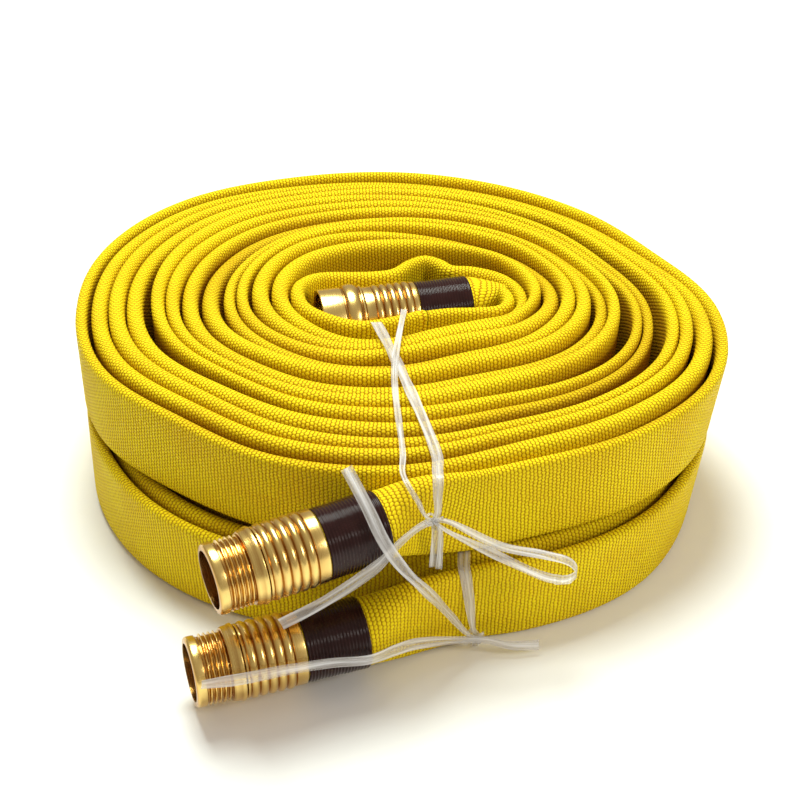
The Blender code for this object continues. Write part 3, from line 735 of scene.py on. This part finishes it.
def male_body_profile():
    """Outer coupling: shank, neck, shoulder, thread and smooth lip, with a wider mouth."""
    end = MALE_FERRULE_END - 0.002
    points = shank(end, MALE_FERRULE_START + LIP_THICKNESS)
    points += [(NECK_RADIUS, SHOULDER_END)]
    points += rounded(SHOULDER_RADIUS, SHOULDER_END, 0.0005, OUT, DOWN)
    points += [(SHOULDER_RADIUS, SHOULDER_END - 0.0014), (0.0176, SHOULDER_END - 0.0022),
               (0.0174, SHOULDER_START + 0.0012)]
    points += rounded(0.0171, SHOULDER_START, 0.0006, DOWN, IN)
    for row in range(THREAD_ROWS + 1):
        points.append((THREAD_ROOT, SHOULDER_START - 0.0002 - row / THREAD_ROWS * 0.0114))
    points += [(THREAD_ROOT, LIP_LENGTH), (0.0163, LIP_LENGTH - 0.0006),
               (THREAD_RADIUS, LIP_LENGTH - 0.0014), (THREAD_RADIUS, 0.0022)]
    points += rounded(THREAD_RADIUS, 0.0, 0.0016, DOWN, IN)
    return points + [(MOUTH_RADIUS, 0.0), (MOUTH_RADIUS, MOUTH_DEPTH),
                     (BORE_RADIUS, MOUTH_DEPTH + 0.0005), (BORE_RADIUS, end)]


def nut_profile():
    """Swivel nut: plain skirt over the thread, then a round bulge and a thin ring."""
    points = rounded(NUT_RADIUS, NUT_LENGTH, 0.0006, OUT, DOWN)
    points += [(NUT_RADIUS, NUT_LENGTH - 0.0012), (NUT_NECK_RADIUS, NUT_LENGTH - 0.0016),
               (NUT_NECK_RADIUS, NUT_LENGTH - 0.0022)]
    for step in range(13):
        angle = math.pi * step / 12
        points.append((BULGE_FOOT + BULGE_RISE * math.sin(angle) ** 0.8,
                       NUT_LENGTH - 0.0024 - BULGE_LENGTH * (1 - math.cos(angle)) / 2))
    points += [(NUT_NECK_RADIUS, SKIRT_LENGTH + 0.0008), (NUT_NECK_RADIUS, SKIRT_LENGTH + 0.0002)]
    points += rounded(NUT_RADIUS, SKIRT_LENGTH, 0.0004, OUT, DOWN)
    points += rounded(NUT_RADIUS, 0.0, 0.0008, DOWN, IN)
    for row in range(NUT_THREAD_ROWS):
        share = row / NUT_THREAD_ROWS
        ridge = math.sin(share * NUT_THREAD_TURNS * 2 * math.pi) > 0
        points.append((NUT_THREAD_RADIUS - 0.0005 * ridge, 0.0006 + share * NUT_THREAD_LENGTH))
    return points + [(NUT_THREAD_RADIUS, 0.0120), (SEAT_RADIUS, 0.0120), (SEAT_RADIUS, SEAT_END),
                     (NUT_BORE, SEAT_END), (NUT_BORE, NUT_LENGTH)]


def tailpiece_profile():
    """Shank and neck, with the flange that the nut turns on."""
    end = FEMALE_FERRULE_END - 0.002
    points = shank(end, FEMALE_FERRULE_START + LIP_THICKNESS)
    return points + [(NECK_RADIUS, FLANGE_END), (FLANGE_RADIUS, FLANGE_END),
                     (FLANGE_RADIUS, FLANGE_START), (BORE_RADIUS, FLANGE_START),
                     (BORE_RADIUS, end)]


def gasket_profile():
    """Flat ring in front of the flange, with broken edges."""
    top = GASKET_END - GASKET_EDGE
    bottom = GASKET_START + GASKET_EDGE
    return [(0.0152, GASKET_END), (FLANGE_RADIUS, top), (FLANGE_RADIUS, bottom),
            (0.0152, GASKET_START), (0.0111, GASKET_START), (BORE_RADIUS, bottom),
            (BORE_RADIUS, top), (0.0111, GASKET_END)]


def sleeve_profile(start):
    """Shrink sleeve, drawn tight over the windings under it."""
    points = [(SLEEVE_RADIUS - SLEEVE_END_STEP, start + SLEEVE_LENGTH)]
    steps = int(SLEEVE_LENGTH / SLEEVE_RIB * 8)
    for step in range(steps + 1):
        share = step / steps
        ripple = 0.5 + 0.5 * math.cos(2 * math.pi * share * SLEEVE_LENGTH / SLEEVE_RIB)
        swell = 0.00012 * math.sin(7.0 * share) + 0.00008 * math.sin(23.0 * share)
        points.append((SLEEVE_RADIUS - 0.00012 - SLEEVE_RIB_DEPTH * ripple + swell,
                       start + SLEEVE_LENGTH - 0.0002 - share * (SLEEVE_LENGTH - 0.0004)))
    return points + [(SLEEVE_RADIUS - SLEEVE_END_STEP, start), (FERRULE_BORE, start),
                     (FERRULE_BORE, start + SLEEVE_LENGTH)]


def build_couplings(level, hose, materials):
    """Both couplings of one hose, each piece round its coupling's axis."""
    male = coupling_frame(hose, "male")
    female = coupling_frame(hose, "female")
    pieces = (
        ("male_body", male_body_profile(), male, "brass"),
        ("male_ferrule", ferrule_profile(MALE_FERRULE_START, MALE_FERRULE_END, MALE_COLLAR), male,
         "brass"),
        ("male_sleeve", sleeve_profile(MALE_FERRULE_END + GAP), male, "shrink_sleeve"),
        ("swivel_nut", nut_profile(), female, "brass"),
        ("gasket", gasket_profile(), female, "rubber"),
        ("tailpiece", tailpiece_profile(), female, "brass"),
        ("female_ferrule",
         ferrule_profile(FEMALE_FERRULE_START, FEMALE_FERRULE_END, FEMALE_COLLAR), female, "brass"),
        ("female_sleeve", sleeve_profile(FEMALE_FERRULE_END + GAP), female, "shrink_sleeve"),
    )
    for part, profile, place, slot in pieces:
        node = f"{level}_{part}"
        body = f"{level}_nut" if part in ("swivel_nut", "gasket") else "hoses"
        thread = (LIP_LENGTH, SHOULDER_START) if part == "male_body" else (0.0, 0.0)
        piece = turned(f"{node}_turned", profile, place, materials[slot], thread)
        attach(piece, body)
        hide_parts(node)


# ---------- ribbons ----------

def ribbon_strip(name, line, across, random, material, width, slack=1.0):
    """A thin creased strip along a line of points, gathered near the knots.

    `across` is about the way of its width, and a slack below 1 creases and twists it less.
    """
    count = len(line)
    across = np.array(across)
    heading = unit(np.gradient(line, axis=0))
    wide = unit(across - heading * (heading @ across)[:, None])
    thick = np.cross(heading, wide)
    distance = travelled(line)
    twist = slack * wander(random, distance, 0.030, -0.30, 0.30)
    fold = slack * wander(random, distance, 0.022, -CREASE, CREASE)
    side = wander(random, distance, 0.035, -0.5, 0.5)
    to_knot = np.linalg.norm(line[:, None] - KNOT_PLACES, axis=2).min(axis=1)
    narrow = 1.0 - wander(random, distance, 0.016, 0.0, 0.22)
    narrow -= 0.42 * (1 - ramp(to_knot, 0.003, 0.034))
    turned_wide = wide * np.cos(twist)[:, None] + thick * np.sin(twist)[:, None]
    turned_thick = thick * np.cos(twist)[:, None] - wide * np.sin(twist)[:, None]
    columns = np.linspace(-0.5, 0.5, RIBBON_COLUMNS)
    rings = []
    for sign, order in ((0.5, columns), (-0.5, columns[::-1])):
        for place in order:
            bulge = fold * (1 - np.abs(place - side * 0.5) * 3.2)
            rings.append(line + turned_wide * (place * width * narrow)[:, None]
                         + turned_thick * (bulge + sign * RIBBON_THICKNESS)[:, None])
    points = np.stack(rings, axis=1)
    around = len(rings)
    faces = skin_faces(count, around, flip=True)
    faces.append(tuple(range(around)))
    faces.append(tuple(range((count - 1) * around, count * around))[::-1])
    piece = add_piece(name, points.reshape(-1, 3), faces, material)
    piece.data.set_sharp_from_angle(angle=math.radians(50))
    place = np.tile(np.linspace(0, 1, RIBBON_COLUMNS), 2)

    def strip(corners):
        return [(distance[corner // around] / width, place[corner % around]) for corner in corners]

    set_map(piece.data, "strip", strip)
    return piece


def hub_wall_y(x):
    """Inner face of the first wrap's front, at a distance x along the hub."""
    line = open_line(FIRST_WRAP[:5], 12)
    return float(np.interp(-x, -line[:, 0], line[:, 1])) + FIRST_WRAP_HALF + 0.0002


def wrap_route(wrap):
    """Points of a ribbon round one roll, from its knot and back to it, tight on the hub's wall."""
    base = HOSES[wrap["level"]]["base"]
    over = base + ROLL_HEIGHT + wrap["over"]
    under = base + GROOVE_DEPTH / 2
    over_x = wrap["front"][-1][0]
    hub_x = wrap["hub_x"]
    under_x = wrap["back"][0][0]
    wall = hub_wall_y(hub_x)
    middle_y = (wall + ROLL_FACE_Y) / 2
    return (
        KNOTS[wrap["level"]],
        *wrap["front"],
        (over_x, ROLL_FACE_Y, over),
        ((over_x + hub_x) / 2 + wrap["bow"], middle_y, over),
        (hub_x, wall - 0.0070, over - 0.0020 - 0.4 * wrap["dip"]),
        (hub_x, wall - 0.0028, over - 0.0038 - wrap["dip"]),
        (hub_x, wall + 0.0002, over - 0.0080 - wrap["dip"]),
        (hub_x, wall + 0.0008, over - 0.0150),
        (hub_x, wall + 0.0008, under + 0.0100),
        (hub_x, wall + 0.0008, under + 0.0030),
        (hub_x, wall - 0.0010, under + 0.0004),
        (hub_x, wall - 0.0040, under),
        ((under_x + hub_x) / 2, middle_y, under),
        (under_x, ROLL_FACE_Y, under),
        *wrap["back"],
        KNOTS[wrap["level"]],
    )


def route_curve(points, steps=12):
    """Smooth curve through points that lie at very different distances from each other."""
    points = np.array(points)
    places = np.append(0.0, np.cumsum(np.linalg.norm(np.diff(points, axis=0), axis=1) ** 0.5))
    slopes = np.gradient(points, places, axis=0)
    share = (np.arange(steps) / steps)[:, None]
    line = []
    for first in range(len(points) - 1):
        reach = places[first + 1] - places[first]
        line.append(points[first] * (1 + 2 * share) * (1 - share) ** 2
                    + points[first + 1] * share ** 2 * (3 - 2 * share)
                    + slopes[first] * reach * share * (1 - share) ** 2
                    + slopes[first + 1] * reach * share ** 2 * (share - 1))
    return np.vstack([*line, points[-1:]])


def even_line(points, step=0.0012):
    """Evenly spaced points on the smooth curve through a route, in the row frame."""
    line = route_curve(points)
    distance = travelled(line)
    places = np.linspace(0, distance[-1], int(distance[-1] / step))
    line = read_along(places, distance, line)
    line[:, 2] = np.maximum(line[:, 2], GROOVE_DEPTH / 2)
    return line + (*ROLL_CENTRE, 0.0)


def build_knot(level, random, material):
    """A tight overhand knot: the strip pulled through its own small loop."""
    turn = np.linspace(0, 2 * math.pi, 140, endpoint=False)
    line = np.stack([np.sin(turn) + 2 * np.sin(2 * turn), np.sin(3 * turn) * 1.2,
                     np.cos(turn) - 2 * np.cos(2 * turn)], axis=1)
    line *= (0.0014, 0.0016, 0.0013)
    line += np.array(KNOTS[level]) + (*ROLL_CENTRE, 0.0)
    knot = ribbon_strip(f"{level}_knot", np.vstack([line, line[:6]]), (0.2, 1.0, 0.3), random,
                        material, KNOT_RIBBON)
    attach(knot, "hoses")
    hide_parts(f"{level}_tie_knot")


def build_ribbons(ribbon):
    """The knots, then every strand on its own route."""
    random = np.random.default_rng(5)
    for level in KNOTS:
        build_knot(level, random, ribbon)
    wraps = [{**wrap, "points": wrap_route(wrap), "far_end": "knot", "across": (1.0, 0.0, 0.0),
              "slack": WRAP_SLACK}
             for wrap in TIE_WRAPS]
    for own in (*wraps, *TIE_ENDS):
        strand = {"nodes": (own["name"],), "width": RIBBON_WIDTH, "far_end": "bare",
                  "slack": 1.0, **own}
        line = even_line(strand["points"])
        piece = ribbon_strip(f"{strand['name']}_strip", line, strand["across"], random, ribbon,
                             strand["width"], strand["slack"])
        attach(piece, "hoses")
        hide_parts(*strand["nodes"])


# ---------- materials ----------

YELLOW = (0.93, 0.73, 0.007, 1.0)
DULL_YELLOW = (0.84, 0.57, 0.006, 1.0)
# Painted shade in the gaps between the beads
WEAVE_GAP_SHADE = (0.52, 0.23, 0.002, 1.0)
# Painted shade in the grooves between the wraps
PAINTED_GROOVE_SHADE = (0.38, 0.15, 0.002, 1.0)
BRIGHT_BRASS = (0.92, 0.66, 0.22, 1.0)
# Painted shade and dark reflection in grooves and bore, also the colour of random stains
SHADED_STAINED_BRASS = (0.40, 0.16, 0.025, 1.0)
DARK_SLEEVE = (0.014, 0.004, 0.004, 1.0)
PALE_SLEEVE = (0.034, 0.011, 0.010, 1.0)
DARK_RUBBER = (0.012, 0.012, 0.012, 1.0)
PALE_RUBBER = (0.035, 0.034, 0.032, 1.0)
CLEAR_RIBBON = (0.60, 0.56, 0.52, 1.0)
# Milky creases, brightened with painted highlight
MILKY_HIGHLIGHT_RIBBON = (0.93, 0.93, 0.95, 1.0)
DARK_FLOOR = (0.90, 0.90, 0.90, 1.0)
PALE_FLOOR = (0.93, 0.93, 0.93, 1.0)


class Graph:
    """The nodes of one material, added one after the other."""

    def __init__(self, name):
        self.material = bpy.data.materials.new(name)
        self.material.use_nodes = True
        self.tree = self.material.node_tree
        self.shader = self.tree.nodes["Principled BSDF"]

    def put(self, target, value):
        """Links a socket to the target, or sets any other value on it."""
        if isinstance(value, bpy.types.NodeSocket):
            self.tree.links.new(value, target)
        else:
            target.default_value = value

    def fill(self, node, inputs):
        """Puts values into a node's inputs by name, where a _ stands for a space."""
        for name, value in inputs.items():
            self.put(node.inputs[name.replace("_", " ")], value)

    def node(self, kind, output, settings=None, **inputs):
        """Adds a node and gives one of its outputs."""
        node = self.tree.nodes.new(kind)
        for name, value in (settings or {}).items():
            setattr(node, name, value)
        self.fill(node, inputs)
        return node.outputs[output]

    def math(self, operation, first, second=0.0, clamp=False):
        node = self.tree.nodes.new("ShaderNodeMath")
        node.operation = operation
        node.use_clamp = clamp
        self.put(node.inputs[0], first)
        self.put(node.inputs[1], second)
        return node.outputs[0]

    def plus(self, first, second):
        return self.math("ADD", first, second)

    def times(self, first, second):
        return self.math("MULTIPLY", first, second)

    def less(self, first, second):
        return self.math("SUBTRACT", first, second)

    def over(self, value, low, gain):
        """0 as far as `low`, then up to 1 by the gain."""
        return self.math("MULTIPLY", self.less(value, low), gain, clamp=True)

    def mix(self, share, first, second):
        node = self.tree.nodes.new("ShaderNodeMix")
        node.data_type = "RGBA"
        self.fill(node, {"Factor": share, "A": first, "B": second})
        return [socket for socket in node.outputs if socket.type == "RGBA"][0]

    def noise(self, vector, scale, detail=3.0):
        return self.node("ShaderNodeTexNoise", "Fac", Vector=vector, Scale=scale, Detail=detail)

    def place(self):
        return self.node("ShaderNodeTexCoord", "Object")

    def map(self, name, *scale):
        """A UV map's coordinates, times the scale if there is one."""
        place = self.node("ShaderNodeUVMap", "UV", {"uv_map": name})
        if scale:
            place = self.node("ShaderNodeMapping", "Vector", Vector=place, Scale=(*scale, 1.0))
        return place

    def recess_shade(self):
        return self.node("ShaderNodeAttribute", "Fac", {"attribute_name": "recess_shade"})

    def surface(self, **inputs):
        self.fill(self.shader, inputs)

    def bump(self, height, strength, distance):
        self.surface(Normal=self.node("ShaderNodeBump", "Normal", Height=height,
                                      Strength=strength, Distance=distance))


def jacket_material():
    """Thick weft beads in half-shifted rows, dyed yellow, with painted shade in the gaps between
    the beads and in the grooves between the wraps, and duller stretches.
    """
    graph = Graph("yellow woven jacket")
    weave = graph.map("weave")
    along = graph.node("ShaderNodeSeparateXYZ", "X", Vector=weave)
    around = graph.node("ShaderNodeSeparateXYZ", "Y", Vector=weave)
    along = graph.plus(along, graph.times(graph.noise(weave, 0.35, 2.0), 0.8))
    around = graph.plus(around, graph.times(graph.math("FLOOR", along), 0.5))
    x = graph.less(graph.math("FRACT", along), 0.5)
    y = graph.less(graph.math("FRACT", around), 0.5)
    flat = graph.plus(graph.times(graph.times(x, x), 3.7), graph.times(graph.times(y, y), 2.8))
    dome = graph.math("SQRT", graph.math("SUBTRACT", 1.0, flat, clamp=True))
    height = graph.plus(dome, graph.times(graph.noise(weave, 5.0, 2.0), 0.18))
    blotch = graph.noise(graph.place(), 38.0, 4.0)
    streak = graph.noise(weave, 0.05, 3.0)
    dull = graph.over(graph.times(graph.plus(blotch, streak), 0.5), 0.42, 3.0)
    crown = graph.mix(dull, YELLOW, DULL_YELLOW)
    # Painted shade in the gaps between the beads
    gap = graph.math("MULTIPLY", graph.less(0.75, dome), 1.5, clamp=True)
    colour = graph.mix(gap, crown, WEAVE_GAP_SHADE)
    # Painted shade in the grooves between the wraps
    colour = graph.mix(graph.times(graph.recess_shade(), 0.84), colour, PAINTED_GROOVE_SHADE)
    graph.surface(Base_Color=colour, Roughness=0.60, Specular_IOR_Level=0.10)
    graph.bump(height, 0.95, 0.0008)
    return graph.material


def brass_material():
    """Polished turned brass, with painted shade and painted dark reflection in its grooves and
    bore, random stains and fine turning marks.
    """
    graph = Graph("turned brass")
    marks = graph.noise(graph.map("turning", 2.0, 30.0), 2.4, 4.0)
    cloud = graph.noise(graph.place(), 140.0, 4.0)
    stain = graph.times(graph.less(cloud, 0.5), 0.5)
    # Painted shade and dark reflection in the grooves and bore, plus random stains
    shade_and_stain = graph.math("ADD", graph.times(graph.recess_shade(), 0.75), stain, clamp=True)
    colour = graph.mix(shade_and_stain, BRIGHT_BRASS, SHADED_STAINED_BRASS)
    rough = graph.plus(0.13, graph.times(marks, 0.22))
    graph.surface(Base_Color=colour, Metallic=1.0, Roughness=rough)
    graph.bump(marks, 0.12, 0.0003)
    return graph.material


def sleeve_material():
    """Dark red-brown shrink sleeve with a half gloss."""
    graph = Graph("shrink sleeve")
    grain = graph.noise(graph.map("turning", 14.0, 3.0), 3.0, 4.0)
    cloud = graph.noise(graph.place(), 160.0, 3.0)
    rough = graph.plus(0.05, graph.times(grain, 0.18))
    graph.surface(Base_Color=graph.mix(cloud, DARK_SLEEVE, PALE_SLEEVE), Roughness=rough,
                  Specular_IOR_Level=0.22)
    graph.bump(graph.plus(grain, cloud), 0.15, 0.0003)
    return graph.material


def rubber_material():
    """Matt black rubber of the linings and gaskets."""
    graph = Graph("black rubber")
    grain = graph.noise(graph.place(), 900.0, 3.0)
    rough = graph.plus(0.45, graph.times(grain, 0.25))
    graph.surface(Base_Color=graph.mix(grain, DARK_RUBBER, PALE_RUBBER), Roughness=rough)
    graph.bump(grain, 0.3, 0.0002)
    return graph.material


def ribbon_material():
    """Thin clear plastic ribbon, milky where it is creased, with painted highlight in those
    streaks.
    """
    graph = Graph("clear ribbon")
    crease = graph.noise(graph.map("strip", 0.07, 1.7), 1.6, 2.0)
    # Streaks along the creases: milky, with painted highlight, and more opaque
    streak = graph.over(crease, 0.40, 4.5)
    rough = graph.plus(0.10, graph.times(crease, 0.24))
    milky = graph.plus(0.30, graph.times(streak, 0.30))
    graph.surface(Base_Color=graph.mix(streak, CLEAR_RIBBON, MILKY_HIGHLIGHT_RIBBON), Roughness=rough,
                  IOR=1.5, Alpha=milky)
    graph.bump(crease, 0.7, 0.0008)
    return graph.material


# ---------- studio ----------

def aim(thing, place, target):
    """Puts a camera or a light at a place, towards the target."""
    thing.location = place
    thing.rotation_euler = (Vector(target) - Vector(place)).to_track_quat("-Z", "Y").to_euler()
    bpy.context.scene.collection.objects.link(thing)


def add_camera():
    data = bpy.data.cameras.new("camera")
    data.lens = CAMERA_LENS
    data.shift_y = CAMERA_SHIFT
    camera = bpy.data.objects.new("camera", data)
    aim(camera, CAMERA_PLACE, CAMERA_TARGET)
    bpy.context.scene.camera = camera


def add_light(name, place, size, power, colour):
    data = bpy.data.lights.new(name, "AREA")
    data.shape = "DISK"
    data.size = size
    data.energy = power
    data.color = colour
    light = bpy.data.objects.new(name, data)
    aim(light, place, LIGHT_TARGET)


def add_floor():
    graph = Graph("pale floor")
    speck = graph.noise(graph.place(), 60.0, 2.0)
    graph.surface(Base_Color=graph.mix(speck, DARK_FLOOR, PALE_FLOOR), Roughness=0.9)
    corners = [(x * FLOOR_HALF_SIZE, y * FLOOR_HALF_SIZE, 0.0)
               for x, y in ((-1, -1), (1, -1), (1, 1), (-1, 1))]
    floor = add_piece("floor", corners, [(0, 1, 2, 3)], graph.material)
    floor.location.z = FLOOR_Z


def add_studio():
    """Soft white surroundings, a pale floor and two lamps."""
    world = bpy.data.worlds.new("white studio")
    bpy.context.scene.world = world
    world.use_nodes = True
    backdrop = world.node_tree.nodes["Background"]
    backdrop.inputs["Color"].default_value = WORLD_COLOUR
    backdrop.inputs["Strength"].default_value = WORLD_STRENGTH
    add_floor()
    for light in LIGHTS:
        add_light(*light)
    bpy.context.scene.view_settings.view_transform = "Standard"


# ---------- the whole scene ----------

def main():
    add_camera()
    materials = {
        "jacket": jacket_material(),
        "brass": brass_material(),
        "shrink_sleeve": sleeve_material(),
        "rubber": rubber_material(),
        "ribbon": ribbon_material(),
    }
    build_ribbons(materials["ribbon"])
    for level, hose in HOSES.items():
        piece, length = build_hose(level, hose, materials)
        build_couplings(level, hose, materials)
    add_studio()


main()
bpy.context.view_layer.update()
